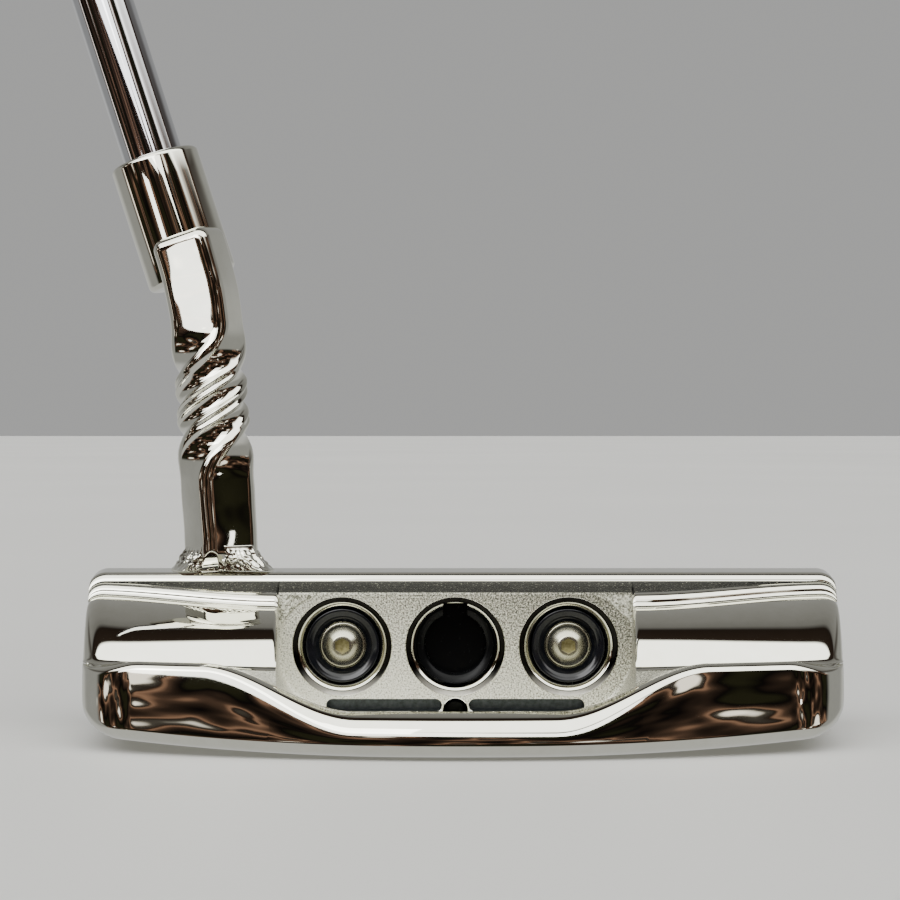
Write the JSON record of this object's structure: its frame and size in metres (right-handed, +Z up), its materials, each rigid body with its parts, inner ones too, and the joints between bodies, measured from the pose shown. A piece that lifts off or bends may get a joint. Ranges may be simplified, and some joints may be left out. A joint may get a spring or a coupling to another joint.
{
  "type": "mallet putter",
  "caption": "Right-handed mallet putter with a polished head, a matte rear pocket with weight ports, a twisted square-bar neck, steel shaft and rubber grip.",
  "frame": {"origin": "centre of the flat on the sole, on the ground under the head", "axes": "+Z up, +X from heel to toe, +Y the way the ball leaves, so the rear pocket faces -Y"},
  "size_m": [0.3557, 0.0506, 0.8248],
  "materials": {
    "polished_nickel": "mirror-polished warm nickel plate; blasted satin in the rear pocket",
    "shaft_chrome": "polished chrome",
    "plug_cork": "cork",
    "tape_paper": "paper tape",
    "grip_rubber": "matte rubber",
    "cap_rubber": "satin rubber",
    "weight_black": "gloss black",
    "screw_steel": "bright stainless steel"
  },
  "bodies": {
    "putter": {"head_body": "polished_nickel", "neck_bar": "polished_nickel", "neck_weld_bead": "polished_nickel", "hosel_socket": "polished_nickel", "shaft": "shaft_chrome", "shaft_tip_plug": "plug_cork", "grip_tape": "tape_paper", "grip": "grip_rubber", "grip_cap": "cap_rubber"},
    "heel_weight": {"heel_weight": "weight_black", "heel_washer": "screw_steel"},
    "heel_screw": {"heel_screw": "screw_steel"},
    "toe_weight": {"toe_weight": "weight_black", "toe_washer": "screw_steel"},
    "toe_screw": {"toe_screw": "screw_steel"}
  },
  "joints": [
    {"name": "heel_weight_slide", "type": "slide", "parent": "putter", "child": "heel_weight", "axis": [0, -1, 0], "range_m": [0, 0.00476]},
    {"name": "heel_screw_turn", "type": "hinge", "parent": "heel_weight", "child": "heel_screw", "pos_m": [-0.0181, 0, 0.0135], "axis": [0, -1, 0], "range_deg": [0, 2160]},
    {"name": "toe_weight_slide", "type": "slide", "parent": "putter", "child": "toe_weight", "axis": [0, -1, 0], "range_m": [0, 0.00476]},
    {"name": "toe_screw_turn", "type": "hinge", "parent": "toe_weight", "child": "toe_screw", "pos_m": [0.0159, 0, 0.0135], "axis": [0, -1, 0], "range_deg": [0, 2160]}
  ],
  "couplings": [
    {"joint": "heel_screw_turn", "follows": "heel_weight_slide", "rad_per_m": 7915.8},
    {"joint": "toe_screw_turn", "follows": "toe_weight_slide", "rad_per_m": 7915.8}
  ]
}
